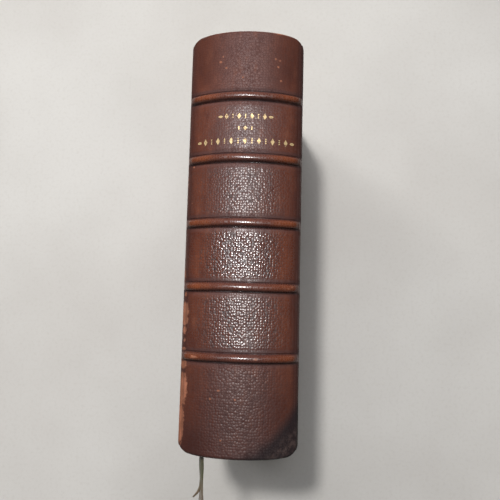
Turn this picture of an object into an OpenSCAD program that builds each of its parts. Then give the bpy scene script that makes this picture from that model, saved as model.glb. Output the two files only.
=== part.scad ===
// Small leather-bound book standing on its fore-edge, spine uppermost.
// +X is the front cover's side, +Y is towards the head, +Z is towards the spine.
// The origin lies on the surface it stands on, under the middle of the book.

/* [Book] */
// Height of the covers, from tail to head
cover_h = 130; // [124:1:160]
// Thickness across both closed covers
book_t = 36; // [33:0.5:42]
// Depth from the fore-edge to the crown of the spine
book_d = 85; // [70:1:110]
// Outer radius of the rounded spine
spine_r = 32; // [28:0.5:40]
// Radius of the leather where the spine turns down to a cover
shoulder_r = 2.5; // [2:0.1:3.5]

/* [Leather] */
// Thickness of the leather
leather_t = 0.6; // [0.5:0.05:0.8]
// Thickness of the leather where it is pared to lie over a raised band
pared_t = 0.45; // [0.35:0.05:0.5]
// Width of the leather turned in round the edges of a cover
turn_in_w = 12; // [8:1:18]
// Length of the leather turned in at the head and tail of the spine
spine_turn_in = 14; // [8:1:18]
// How far a headcap reaches in over its endband
cap_lip = 3.4; // [2.6:0.1:4]
// Bend radius of the leather at the head and tail of the spine
cap_r = 1; // [0.8:0.1:1.4]
// Rounding of a cover's corners at the fore-edge
corner_r = 1.5; // [0.8:0.1:1.8]
// Rounding along the edges of a cover
edge_r = 0.8; // [0.4:0.1:1]
// Depth of the crease along each joint
crease_depth = 0.2; // [0.1:0.05:0.3]
// Slit between the leather of the spine and of a cover, where it bends
joint_slit = 0.3; // [0.2:0.05:0.5]

/* [Raised bands] */
// Width of a raised band
band_w = 2.1; // [1.8:0.1:2.8]
// How far a raised band stands out from the spine
band_rise = 1; // [0.7:0.1:1.3]
// Distance from the head to the middle of the first band
head_panel = 21.3; // [16:0.1:26]
// Distance from the tail to the middle of the last band
tail_panel = 28.8; // [20:0.1:34]
// How far each band strays from even spacing, the first at the head
band_shift = [0, 0.4, 0.4, 0.9, 0];
// Distance from a band's middle to the line tooled beside it
tool_line_off = 1.35; // [1.2:0.05:2]
// Depth of a tooled line
tool_line_depth = 0.25; // [0.1:0.05:0.35]

/* [Boards and paper] */
// Thickness of a board
board_t = 2; // [1.4:0.1:2.6]
// Thickness of an endpaper
paper_t = 0.3; // [0.2:0.05:0.5]
// Width of the turned-in leather that an endpaper leaves bare
turn_in_bare = 3; // [2:0.5:5]
// Overhang of the covers past the pages at head, tail and fore-edge
square_w = 2.5; // [2.2:0.1:4]
// Thickness of the card stiffener in the spine
inlay_t = 0.6; // [0.4:0.05:0.8]
// Thickness of the cloth and paper lining on the back of the pages
lining_t = 0.4; // [0.3:0.05:0.6]

/* [Sewing] */
// Thickness of a sewing cord
sewing_cord_d = 1.2; // [0.8:0.1:1.6]
// Distance between sewing cords
sewing_pitch = 26; // [20:1:28]
// Thickness of an endband
endband_d = 1.6; // [1.2:0.1:1.6]

/* [Ribbon] */
// Width of the ribbon marker
ribbon_w = 3.2; // [2.4:0.1:3.6]
// Thickness of the ribbon marker
ribbon_t = 0.25; // [0.2:0.05:0.4]

/* [Hidden] */
$fn = 96;

// Line of paste between two layers
glue_t = 0.1;
// Air between a closed cover's endpaper and the first leaf
cover_gap = 0.3;
// How far a headcap's lip and a joint's leather stand back from the spine's leather
cap_inset = 0.03;
// How far the lip runs into the bend, and the angle that the joint's leather runs in
cap_lap = 0.15;
joint_lap = 0.6;
// Straight steps in a rounded corner
corner_steps = 6;
// Longer than anything that is cut
far = 300;
leather = "#6f4030";
page = "#d8c9a4";
endpaper = "#cdbb93";
card = "#a58e6c";
linen = "#b9ab8a";

// The outside of the spine and its shoulders
half_t = book_t / 2;
half_h = cover_h / 2;
spine_z = book_d - spine_r;
shoulder_x = half_t - shoulder_r;
shoulder_a = asin(shoulder_x / (spine_r - shoulder_r));
shoulder_z = spine_z + (spine_r - shoulder_r) * cos(shoulder_a);
hinge_a = (shoulder_a + 90) / 2;
slit_a = asin(joint_slit / 2 / shoulder_r);
crease_r = 0.5;
crease_a = shoulder_a - 1.5;
joint_a = crease_a - 1;

// Layers under the leather of the spine, by radius
leather_in_r = spine_r - leather_t;
inlay_r = leather_in_r - glue_t;
turn_in_r = inlay_r - inlay_t - glue_t;
lining_r = turn_in_r - leather_t - glue_t;
text_r = lining_r - lining_t - glue_t;
inlay_a = shoulder_a - 2;
cap_a = shoulder_a - 6;
endband_a = cap_a - 2;

// Layers of a cover, from its outer face inwards
board_out_x = half_t - leather_t - glue_t;
board_in_x = board_out_x - board_t;
cover_in_x = board_in_x - glue_t - leather_t;
pastedown_x = cover_in_x - glue_t;
flyleaf_x = pastedown_x - paper_t - cover_gap;
text_x = flyleaf_x - paper_t - glue_t;
edge_t = leather_t + glue_t;

// The pages, backed into a shoulder on each side that covers the board
text_h = cover_h - 2 * square_w;
text_foot = square_w + 0.5;
backing_x = text_r * sin(shoulder_a);
backing_z = spine_z + text_r * cos(shoulder_a) - 0.6;
backing_h = backing_x - text_x;
board_top = backing_z - cover_gap;
turn_in_top = backing_z - (backing_x - cover_in_x) - cover_gap;
paper_top = backing_z - backing_h - cover_gap;

// Raised bands
band_count = len(band_shift);
band_pitch = (cover_h - head_panel - tail_panel) / (band_count - 1);
band_y = [for (i = [0:band_count - 1]) half_h - head_panel - i * band_pitch + band_shift[i]];
band_r = spine_r + band_rise - band_w / 2;
band_a = joint_a - 4;
band_taper_a = 24;
band_core_r = band_w / 2 - pared_t - glue_t;
tool_line_r = 0.4;

// Sewing cords
sewing_count = 4;
sewing_r = text_r - sewing_cord_d / 2;
sewing_a = shoulder_a - 3;

// The ribbon's route and how far its face has turned from upright at each point.
// The first points lie between the leaves, which it leaves at ribbon_exit.
ribbon_exit = [-11.4, -62.5, 75.8];
ribbon_route = [[-11.4, -50, 75.8], [-11.4, -54, 75.8], [-11.4, -58, 75.8], [-11.4, -62.5, 75.8],
                [-11.4, -66, 75.7], [-11.4, -70, 75.2], [-11.4, -74, 74.3], [-11.5, -78, 72.8],
                [-11.7, -81.8, 70.6], [-11.9, -85.2, 67.7], [-12.1, -88.2, 64.2], [-12.3, -90.6, 60.1],
                [-12.5, -92.4, 55.7], [-12.6, -93.6, 51.1], [-12.6, -94.3, 46.5]];
ribbon_turn = [0, 0, 0, 0, 5, 20, 30, 35, 45, 60, 75, 85, 90, 95, 95];
ribbon_slot_t = 0.5;
ribbon_slot_l = 13;

function arc(c, r, a0, a1) = [for (i = [0:corner_steps]) let(a = a0 + (a1 - a0) * i / corner_steps)
    [c[0] + r * cos(a), c[1] + r * sin(a)]];

// Turns a profile of (radius, height) about the centre line of the rounded spine,
// between two angles from the crown that grow towards +X
module round_spine(from_a, to_a) {
    translate([0, 0, spine_z]) rotate([-90, 0, 0]) rotate([0, 0, from_a - 90])
        rotate_extrude(angle = to_a - from_a) children();
}

// Runs an outline of (x, z) along the height of the book
module along_y(length) {
    translate([0, length / 2, 0]) rotate([90, 0, 0]) linear_extrude(length) children();
}

// A curved sheet that follows the spine
module spine_sheet(outer_r, thickness, length, half_a) {
    round_spine(-half_a, half_a) translate([outer_r - thickness, -length / 2]) square([thickness, length]);
}

module text_block() {
    foot_z = text_foot - sqrt(text_r * text_r - text_x * text_x);
    color(page) difference() {
        along_y(text_h) difference() {
            intersection() {
                union() {
                    translate([0, spine_z]) circle(text_r);
                    translate([-backing_x, 0]) square([2 * backing_x, spine_z]);
                }
                polygon([[-text_x, text_foot], [text_x, text_foot], [text_x, backing_z - backing_h],
                         [backing_x, backing_z], [backing_x, book_d], [-backing_x, book_d],
                         [-backing_x, backing_z], [-text_x, backing_z - backing_h]]);
            }
            translate([0, foot_z]) circle(text_r);
        }
        for (i = [0:sewing_count - 1]) round_spine(-shoulder_a, shoulder_a)
            translate([sewing_r, sewing_y(i)]) square(sewing_cord_d + 2 * glue_t, center = true);
        translate([ribbon_exit[0], -text_h / 2 + ribbon_slot_l / 2, ribbon_exit[2]])
            cube([ribbon_slot_t, ribbon_slot_l + 2, ribbon_w + 0.6], center = true);
    }
}

function sewing_y(i) = (i - (sewing_count - 1) / 2) * sewing_pitch;

module sewing_cord(i) {
    color(linen) round_spine(-sewing_a, sewing_a) translate([sewing_r, sewing_y(i)]) circle(d = sewing_cord_d);
}

module spine_lining() {
    color(linen) spine_sheet(lining_r, lining_t, text_h, shoulder_a - 1);
}

module endband(side) {
    color("#8d7a52") round_spine(-endband_a, endband_a)
        translate([text_r - endband_d / 2 - glue_t, side * (text_h / 2 + glue_t + endband_d / 2)])
            circle(d = endband_d);
}

module spine_inlay() {
    color(card) spine_sheet(inlay_r, inlay_t, cover_h - 2 * cap_r, inlay_a);
}

// The cord under a raised band, flat where it is pasted to the inlay
module band_section(r, foot_r) {
    translate([band_r, 0]) circle(r);
    translate([foot_r, -0.9 * r]) square([band_r - foot_r, 1.8 * r]);
}

module band(i) {
    color(card) round_spine(-band_a, band_a) translate([0, band_y[i]]) band_section(band_core_r, inlay_r + glue_t);
}

// One strip of leather from tail to head, its two ends bent in
module spine_strip() {
    bend_y = half_h - cap_r;
    bend_x = spine_r - cap_r;
    in_r = cap_r - leather_t;
    polygon(concat(arc([bend_x, bend_y], cap_r, 0, 90), arc([bend_x, bend_y], in_r, 90, 0),
                   arc([bend_x, -bend_y], in_r, 0, -90), arc([bend_x, -bend_y], cap_r, -90, 0)));
}

// The headcap over an endband and the leather turned in behind it
module cap_section() {
    lip_r = spine_r - cap_lip;
    lip_t = leather_t - 2 * cap_inset;
    translate([lip_r, half_h - leather_t + cap_inset]) square([cap_lip - cap_r + cap_lap, lip_t]);
    translate([turn_in_r - leather_t, half_h - spine_turn_in]) square([leather_t, spine_turn_in - leather_t / 2]);
}

// Outline of the spine's leather in (radius, height), moulded over the band cords
module spine_profile() {
    difference() {
        union() {
            spine_strip();
            for (y = band_y) intersection() {
                translate([band_r, y]) circle(d = band_w);
                translate([leather_in_r + cap_inset, y - band_w]) square([2 * band_w, 2 * band_w]);
            }
        }
        for (y = band_y) translate([0, y]) band_section(band_core_r + glue_t, leather_in_r - glue_t);
        for (y = band_y) for (side = [-1, 1])
            translate([spine_r + tool_line_r - tool_line_depth, y + side * tool_line_off]) circle(tool_line_r);
    }
}

// The crease of a joint and the turn of the leather down to the hinge.
// It runs into the spine's leather by joint_lap and ends short of the bends at head and tail.
module joint_strip() {
    turn = 90 - hinge_a + slit_a;
    start = 90 - joint_a + joint_lap;
    along_y(cover_h - 2 * cap_r - 2 * cap_inset) difference() {
        polygon(concat(arc([0, spine_z], spine_r - cap_inset, start, 90 - shoulder_a),
                       arc([shoulder_x, shoulder_z], shoulder_r - cap_inset, 90 - shoulder_a, turn),
                       arc([shoulder_x, shoulder_z], shoulder_r - leather_t + cap_inset, turn, 90 - shoulder_a),
                       arc([0, spine_z], leather_in_r + cap_inset, 90 - shoulder_a, start)));
        translate([0, spine_z]) rotate(90 - crease_a)
            translate([spine_r + crease_r - crease_depth, 0]) circle(crease_r);
    }
}

// Cuts the end of every band down to the crease
module band_taper() {
    taper_l = 8;
    translate([0, 0, spine_z]) rotate([0, joint_a, 0]) translate([0, 0, spine_r]) rotate([0, band_taper_a, 0])
        translate([-taper_l, -half_h, 0]) cube([taper_l, cover_h, taper_l]);
}

module spine_leather() {
    color(leather) difference() {
        union() {
            round_spine(-joint_a, joint_a) spine_profile();
            round_spine(-cap_a, cap_a) cap_section();
            round_spine(-cap_a, cap_a) mirror([0, 1]) cap_section();
            joint_strip();
            mirror([1, 0, 0]) joint_strip();
        }
        band_taper();
        mirror([1, 0, 0]) band_taper();
    }
}

// Outside of a front cover, with its fore-edge, head and tail rounded
module cover_form() {
    top = 90 - hinge_a - slit_a;
    intersection() {
        along_y(cover_h) polygon(concat(
            arc([cover_in_x + edge_r, edge_r], edge_r, 180, 270), arc([half_t - edge_r, edge_r], edge_r, 270, 360),
            arc([shoulder_x, shoulder_z], shoulder_r, 0, top),
            arc([shoulder_x, shoulder_z], shoulder_r - leather_t, top, 0),
            [[half_t - leather_t, board_top], [board_in_x, board_top], [cover_in_x, turn_in_top]]));
        rotate([90, 0, 90]) linear_extrude(far) polygon(concat(
            arc([corner_r - half_h, corner_r], corner_r, 180, 270), arc([half_h - corner_r, corner_r], corner_r, 270, 360),
            [[half_h, far], [-half_h, far]]));
        linear_extrude(far) polygon(concat(
            arc([cover_in_x + edge_r, edge_r - half_h], edge_r, 180, 270),
            arc([half_t - edge_r, edge_r - half_h], edge_r, 270, 360),
            arc([half_t - edge_r, half_h - edge_r], edge_r, 0, 90),
            arc([cover_in_x + edge_r, half_h - edge_r], edge_r, 90, 180)));
    }
}

module cover_leather() {
    color(leather) difference() {
        cover_form();
        translate([board_in_x - glue_t, leather_t - half_h, leather_t])
            cube([board_t + 2 * glue_t, cover_h - 2 * leather_t, far]);
        translate([cover_in_x - 1, turn_in_w - half_h, turn_in_w])
            cube([leather_t + glue_t + 1, cover_h - 2 * turn_in_w, far]);
    }
}

module board() {
    color(card) translate([board_in_x, edge_t - half_h, edge_t])
        cube([board_t, cover_h - 2 * edge_t, board_top - edge_t]);
}

// The endpaper pasted down, let in between the turned-in leather
module pastedown() {
    inner_w = turn_in_w + glue_t;
    color(endpaper) union() {
        translate([pastedown_x - paper_t, turn_in_bare - half_h, turn_in_bare])
            cube([paper_t, cover_h - 2 * turn_in_bare, paper_top - turn_in_bare]);
        translate([pastedown_x - paper_t, inner_w - half_h, inner_w])
            cube([board_in_x - glue_t - pastedown_x + paper_t, cover_h - 2 * inner_w, paper_top - inner_w]);
    }
}

module flyleaf() {
    color(endpaper) translate([text_x + glue_t, -text_h / 2, text_foot])
        cube([paper_t, text_h, paper_top - text_foot]);
}

// Eight-sided section of the ribbon, its corners taken off
ribbon_bevel = 0.08;
ribbon_section = let(w = ribbon_w / 2, t = ribbon_t / 2, b = ribbon_bevel)
    [[t, w - b], [t - b, w], [b - t, w], [-t, w - b], [-t, b - w], [b - t, -w], [t - b, -w], [t, b - w]];

function unit(v) = v / norm(v);
function ribbon_dir(i) = unit(ribbon_route[min(i + 1, len(ribbon_route) - 1)] - ribbon_route[max(i - 1, 0)]);
function ribbon_ring(i) =
    let(d = ribbon_dir(i), side = unit(cross([1, 0, 0], d)), flat = cross(d, side), a = ribbon_turn[i],
        u = flat * cos(a) + side * sin(a), v = side * cos(a) - flat * sin(a))
    [for (p = ribbon_section) ribbon_route[i] + u * p[0] + v * p[1]];

module ribbon_marker() {
    n = len(ribbon_section);
    last = len(ribbon_route) - 1;
    sides = [for (i = [0:last - 1]) for (j = [0:n - 1])
        [i * n + j, i * n + (j + 1) % n, (i + 1) * n + (j + 1) % n, (i + 1) * n + j]];
    ends = [[for (j = [n - 1:-1:0]) j], [for (j = [0:n - 1]) last * n + j]];
    color("#7d7658") polyhedron([for (i = [0:last]) each ribbon_ring(i)], concat(sides, ends));
}

text_block();
flyleaf();  // front_flyleaf
mirror([1, 0, 0]) flyleaf();  // back_flyleaf
spine_lining();
sewing_cord(3);  // sewing_cord_1
sewing_cord(2);  // sewing_cord_2
sewing_cord(1);  // sewing_cord_3
sewing_cord(0);  // sewing_cord_4
endband(1);  // head_band
endband(-1);  // tail_band
spine_inlay();
band(0);  // band_1
band(1);  // band_2
band(2);  // band_3
band(3);  // band_4
band(4);  // band_5
spine_leather();
board();  // front_board
cover_leather();  // front_leather
pastedown();  // front_pastedown
mirror([1, 0, 0]) board();  // back_board
mirror([1, 0, 0]) cover_leather();  // back_leather
mirror([1, 0, 0]) pastedown();  // back_pastedown
ribbon_marker();
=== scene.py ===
"""Looks of a small leather-bound book that stands on its fore-edge with its spine up."""
import math
import random

import bmesh
import bpy
import numpy as np
from mathutils import Matrix, Vector, noise


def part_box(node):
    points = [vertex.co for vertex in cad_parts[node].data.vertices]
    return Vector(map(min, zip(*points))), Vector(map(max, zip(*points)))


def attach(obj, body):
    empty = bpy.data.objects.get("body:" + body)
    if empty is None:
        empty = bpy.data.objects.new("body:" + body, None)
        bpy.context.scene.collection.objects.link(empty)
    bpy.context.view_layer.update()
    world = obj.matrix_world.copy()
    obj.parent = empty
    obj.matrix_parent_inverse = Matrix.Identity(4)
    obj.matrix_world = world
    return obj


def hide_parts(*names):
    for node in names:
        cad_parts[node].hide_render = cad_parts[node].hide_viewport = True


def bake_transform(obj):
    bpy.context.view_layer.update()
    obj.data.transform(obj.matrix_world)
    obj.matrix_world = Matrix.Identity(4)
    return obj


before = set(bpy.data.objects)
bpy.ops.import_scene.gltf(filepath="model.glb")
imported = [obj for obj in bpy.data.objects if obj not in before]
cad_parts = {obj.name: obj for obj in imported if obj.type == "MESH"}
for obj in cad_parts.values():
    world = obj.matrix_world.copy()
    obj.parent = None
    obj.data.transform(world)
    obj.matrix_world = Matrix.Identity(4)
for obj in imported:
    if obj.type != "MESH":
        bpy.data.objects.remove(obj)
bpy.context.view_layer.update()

MM = 0.001

# Sizes of the binding, as the frame has them
SPINE_R = 32 * MM
SHOULDER_R = 2.5 * MM
LEATHER_T = 0.6 * MM
BAND_RISE = 1 * MM
BAND_W = 2.1 * MM
CAP_R = 1 * MM
CAP_LIP = 3.4 * MM
CORNER_R = 1.5 * MM
EDGE_R = 0.8 * MM

spine_low, spine_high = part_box("spine_leather")
cover_low, cover_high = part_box("front_leather")
board_low, board_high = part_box("front_board")
HALF_T = cover_high.x
HALF_H = cover_high.y
COVER_IN = cover_low.x
CROWN = spine_high.z - BAND_RISE
SPINE_Z = CROWN - SPINE_R
BOARD_TOP = board_high.z + 0.1 * MM
BAND_Y = [sum((corner.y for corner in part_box(f"band_{i}")), 0.0) / 2 for i in range(1, 6)]

# Angles from upright at which the spine turns into the shoulder, and of the crease and the seam
SHOULDER_X = HALF_T - SHOULDER_R
SHOULDER_A = math.asin(SHOULDER_X / (SPINE_R - SHOULDER_R))
SHOULDER_Z = SPINE_Z + (SPINE_R - SHOULDER_R) * math.cos(SHOULDER_A)
CREASE_A = SHOULDER_A - math.radians(0.3)
SEAM_A = (SHOULDER_A + math.pi / 2) / 2

# Wear at the ends of the shoulders: the height at which it starts and its rise to full strength, the
# radius it rounds the corner to, and how far in from the side and from the end it reaches
WEAR_FLOOR = 71 * MM
WEAR_RISE = 7 * MM
WEAR_R = 3.6 * MM
WEAR_REACH = 9 * MM

# Where the raised bands start to sink and where they end, by the run of the leather from the crown
BAND_END = 16.4 * MM
BAND_TIP = 18.7 * MM

# Lines tooled on the head side and the tail side of each band, from the band's middle, and the
# strip that the tool pressed smooth on both sides
HEAD_LINE = 1.5 * MM
SECOND_LINE = 2.55 * MM
TAIL_LINE = -1.45 * MM
PRESSED_STRIP = 2.1 * MM

# The photograph is 500 pixels across; the camera was fitted to the bands and edges of the book
CAMERA_PLACE = Vector((11.7, -19.5, 234.6)) * MM
CAMERA_PITCH = math.radians(5.86)
CAMERA_YAW = math.radians(-3.43)
CAMERA_ROLL = math.radians(-1.11)
CAMERA_LENS = 36.36

# The room's light, the pale backdrop that only the camera sees, and where the lamps point, in metres
ROOM_COLOUR = (0.055, 0.054, 0.054)
BACKDROP_COLOUR = (0.60, 0.59, 0.57)
WARM_WHITE = (1, 0.98, 0.97)
WINDOW_ANGLE = 0.55
SHEEN_LAMP_DEPTH = 0.06
SPINE_TOP = (0, 0, 0.08)
BOOK_MIDDLE = (0, 0, 0.05)


def make_camera():
    data = bpy.data.cameras.new("camera")
    data.sensor_width = 36
    data.lens = CAMERA_LENS
    data.clip_start = 0.01
    camera = bpy.data.objects.new("camera", data)
    bpy.context.collection.objects.link(camera)
    turn = Matrix.Rotation(-CAMERA_PITCH, 3, "X")
    turn = Matrix.Rotation(CAMERA_YAW, 3, "Y") @ turn
    turn = Matrix.Rotation(CAMERA_ROLL, 3, "Z") @ turn
    camera.rotation_mode = "QUATERNION"
    camera.rotation_quaternion = turn.transposed().to_quaternion()
    camera.location = CAMERA_PLACE
    bpy.context.scene.camera = camera


def lamp(name, kind, place, aim, power, colour):
    data = bpy.data.lights.new(name, kind)
    data.energy = power
    data.color = colour
    light = bpy.data.objects.new(name, data)
    bpy.context.collection.objects.link(light)
    light.location = place
    light.rotation_mode = "QUATERNION"
    light.rotation_quaternion = (Vector(aim) - Vector(place)).to_track_quat("-Z", "Y")
    return light


def area_light(name, place, aim, size, power, colour):
    light = lamp(name, "AREA", place, aim, power, colour)
    light.data.shape = "DISK"
    light.data.size = size
    return light


def sun_light(name, place, power, colour):
    light = lamp(name, "SUN", place, (0, 0, 0), power, colour)
    light.data.angle = WINDOW_ANGLE
    return light


def make_light():
    """Two lamps that only shine on the leather, and a ceiling, lamps and windows that light it."""
    world = bpy.data.worlds.new("studio")
    world.use_nodes = True
    tree = world.node_tree
    background = tree.nodes["Background"]
    seen = add(tree, "ShaderNodeLightPath").outputs["Is Camera Ray"]
    colour = mix_colour(tree, seen, ROOM_COLOUR, BACKDROP_COLOUR)
    tree.links.new(colour, background.inputs["Color"])
    bpy.context.scene.world = world

    sheen = [area_light("overhead", (0, 0.083, 0.8), SPINE_TOP, 0.11, 2.6, (1, 0.98, 0.92)),
             area_light("wide overhead", (-0.03, 0.083, 0.8), SPINE_TOP, 0.26, 1.7, (0.9, 0.94, 1))]
    for light in sheen:
        light.data.shape = "ELLIPSE"
        light.data.size_y = SHEEN_LAMP_DEPTH
        light.visible_diffuse = False

    area_light("ceiling", (-0.08, 0.3, 0.9), BOOK_MIDDLE, 0.3, 1.2, (0.84, 0.9, 1))
    soft = [area_light("head side", (-0.087, 0.23, 0.7), BOOK_MIDDLE, 0.06, 3.7, (1, 0.98, 0.96)),
            area_light("side lamp", (-0.42, 0.42, 0.45), BOOK_MIDDLE, 0.2, 1.4, WARM_WHITE),
            sun_light("left window", (-0.2, 0.55, 0.5), 0.6, WARM_WHITE),
            sun_light("right window", (0.2, 0.55, 0.5), 0.85, WARM_WHITE)]
    for light in soft:
        light.visible_glossy = False


def feed(tree, socket, value):
    """Links a node's output to an input socket, or sets the socket to any other value."""
    if isinstance(value, bpy.types.NodeSocket):
        tree.links.new(value, socket)
    else:
        socket.default_value = value


def add(tree, kind, inputs=None, **settings):
    """A node with its settings and with its inputs fed."""
    node = tree.nodes.new(kind)
    for name, value in settings.items():
        setattr(node, name, value)
    for name, value in (inputs or {}).items():
        feed(tree, node.inputs[name], value)
    return node


def maths(tree, operation, first, second=0.0, third=0.0):
    inputs = {0: first, 1: second, 2: third}
    return add(tree, "ShaderNodeMath", inputs, operation=operation).outputs[0]


def remap(tree, value, low, high, to_low=0.0, to_high=1.0, smooth=True):
    inputs = {"Value": value, "From Min": low, "From Max": high, "To Min": to_low, "To Max": to_high}
    kind = "SMOOTHSTEP" if smooth else "LINEAR"
    return add(tree, "ShaderNodeMapRange", inputs, interpolation_type=kind).outputs["Result"]


def mix_colour(tree, factor, first, second):
    """Mixes two colours, each a socket or three numbers. They go into inputs 6 and 7 of the node."""
    node = tree.nodes.new("ShaderNodeMix")
    node.data_type = "RGBA"
    for socket, value in ((0, factor), (6, first), (7, second)):
        feed(tree, node.inputs[socket], (*value, 1) if isinstance(value, tuple) else value)
    return node.outputs[2]


def noise_node(tree, vector, scale, detail=2.0, roughness=0.5, distortion=0.0):
    inputs = {"Vector": vector, "Scale": scale, "Detail": detail, "Roughness": roughness,
              "Distortion": distortion}
    return add(tree, "ShaderNodeTexNoise", inputs)


def noise_value(tree, *settings):
    return noise_node(tree, *settings).outputs["Fac"]


def object_place(tree, stretch=(1, 1, 1)):
    place = add(tree, "ShaderNodeTexCoord").outputs["Object"]
    return add(tree, "ShaderNodeMapping", {"Vector": place, "Scale": stretch}).outputs["Vector"]


def attribute(tree, name):
    return add(tree, "ShaderNodeAttribute", attribute_name=name).outputs["Fac"]


def new_group(name, inputs, outputs):
    """A shader group. Inputs are (name, socket type, default) and outputs are (name, socket type)."""
    group = bpy.data.node_groups.new(name, "ShaderNodeTree")
    for label, kind, default in inputs:
        socket = group.interface.new_socket(name=label, in_out="INPUT", socket_type=kind)
        if default is not None:
            socket.default_value = default
    for label, kind in outputs:
        group.interface.new_socket(name=label, in_out="OUTPUT", socket_type=kind)
    return group, group.nodes.new("NodeGroupInput").outputs, group.nodes.new("NodeGroupOutput").inputs


def use_group(tree, group, inputs):
    return add(tree, "ShaderNodeGroup", inputs, node_tree=group).outputs


def pebble_group():
    """Pebbled goatskin grain: uneven little domes in drifting rows, with narrow valleys between."""
    group, given, result = new_group(
        "pebble_grain",
        [("Vector", "NodeSocketVector", None), ("Scale", "NodeSocketFloat", 1260.0)],
        [("Height", "NodeSocketFloat"), ("Valley", "NodeSocketFloat"), ("Cell", "NodeSocketFloat")])
    vector, scale = given["Vector"], given["Scale"]
    warp = noise_node(group, vector, maths(group, "MULTIPLY", scale, 0.3)).outputs["Color"]
    centred = add(group, "ShaderNodeVectorMath", {0: warp, 1: (0.5, 0.5, 0.5)}, operation="SUBTRACT")
    shift = add(group, "ShaderNodeVectorMath", {0: centred.outputs[0], "Scale": 0.0004},
                operation="SCALE").outputs[0]
    place = add(group, "ShaderNodeVectorMath", {0: vector, 1: shift}, operation="ADD").outputs[0]
    nearest = add(group, "ShaderNodeTexVoronoi", {"Vector": place, "Scale": scale, "Smoothness": 0.12,
                                                  "Randomness": 0.62}, feature="SMOOTH_F1")
    edge = add(group, "ShaderNodeTexVoronoi", {"Vector": place, "Scale": scale, "Randomness": 0.62},
               feature="DISTANCE_TO_EDGE").outputs["Distance"]
    cell = add(group, "ShaderNodeSeparateColor", {"Color": nearest.outputs["Color"]}).outputs["Red"]
    away = maths(group, "POWER", nearest.outputs["Distance"], 2.0)
    dome = maths(group, "MULTIPLY_ADD", away, -2.4, 1.0)
    lift = maths(group, "MULTIPLY_ADD", cell, 0.25, 0.8)
    fine = noise_value(group, vector, maths(group, "MULTIPLY", scale, 5.0), 2.0)
    height = maths(group, "MULTIPLY_ADD", fine, 0.05, maths(group, "MULTIPLY", dome, lift))
    group.links.new(height, result["Height"])
    group.links.new(remap(group, edge, 0.02, 0.16, 1.0, 0.0), result["Valley"])
    group.links.new(cell, result["Cell"])
    return group


def blotch_group():
    """A soft mask that breaks a painted patch up into ragged islands."""
    group, given, result = new_group(
        "ragged_patch",
        [("Vector", "NodeSocketVector", None), ("Patch", "NodeSocketFloat", 0.0),
         ("Scale", "NodeSocketFloat", 700.0), ("Softness", "NodeSocketFloat", 0.1)],
        [("Mask", "NodeSocketFloat")])
    rag = noise_value(group, given["Vector"], given["Scale"], 4.0, 0.65, 0.6)
    level = maths(group, "ADD", given["Patch"], maths(group, "SUBTRACT", rag, 1.0))
    half = maths(group, "MULTIPLY", given["Softness"], 0.5)
    inputs = {"Value": level, "From Min": maths(group, "MULTIPLY", half, -1.0), "From Max": half}
    mask = add(group, "ShaderNodeMapRange", inputs, interpolation_type="SMOOTHSTEP").outputs["Result"]
    group.links.new(mask, result["Mask"])
    return group


def new_material(name):
    material = bpy.data.materials.new(name)
    material.use_nodes = True
    tree = material.node_tree
    return material, tree, tree.nodes["Principled BSDF"]


def set_shader(tree, shader, **links):
    """Feeds sockets of the shader. Underscores in a name stand for spaces."""
    for name, value in links.items():
        feed(tree, shader.inputs[name.replace("_", " ")], value)


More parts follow.
